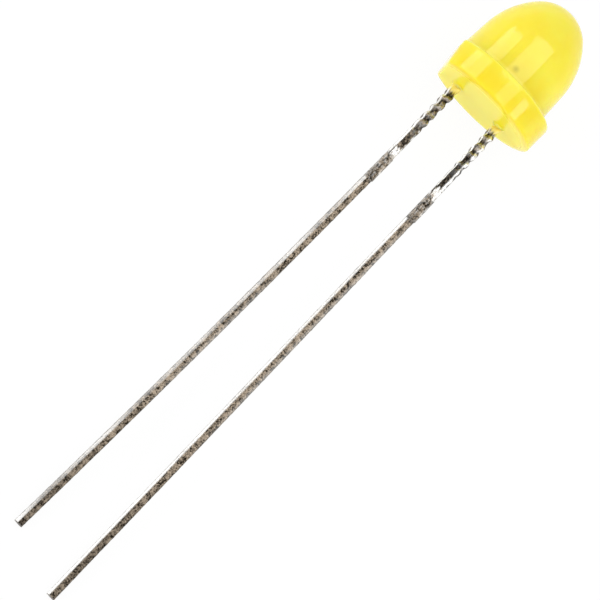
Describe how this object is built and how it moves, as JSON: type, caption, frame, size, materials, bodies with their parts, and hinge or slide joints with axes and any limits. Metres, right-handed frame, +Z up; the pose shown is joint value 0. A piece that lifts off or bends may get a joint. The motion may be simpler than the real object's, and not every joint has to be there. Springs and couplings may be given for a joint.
{
  "type": "through hole led",
  "caption": "Low domed yellow indicator lamp with a flanged, diffused resin lens, a flat on the flange at the cathode and two square leads for a circuit board.",
  "frame": {"origin": "centre of the flat underside of the lens, where the optical axis crosses it", "axes": "+X towards the dome, along the lamp as it lies on its flange and both lead tips, with the optical axis raised 5.4 degrees; +Y towards the cathode lead and the flat; +Z up"},
  "size_m": [0.035, 0.0055, 0.006],
  "materials": {
    "tinted_resin": "glossy diffused yellow epoxy",
    "tinned_strip": "solder dipped strip, dull and mottled",
    "semiconductor": "sawn crystal",
    "silver_adhesive": "dull silver paste",
    "gold_wire": "drawn gold"
  },
  "bodies": {
    "root": {"lens": "tinted_resin", "cathode_lead": "tinned_strip", "anode_lead": "tinned_strip", "chip": "semiconductor", "chip_adhesive": "silver_adhesive", "bond_wire": "gold_wire"}
  },
  "joints": []
}
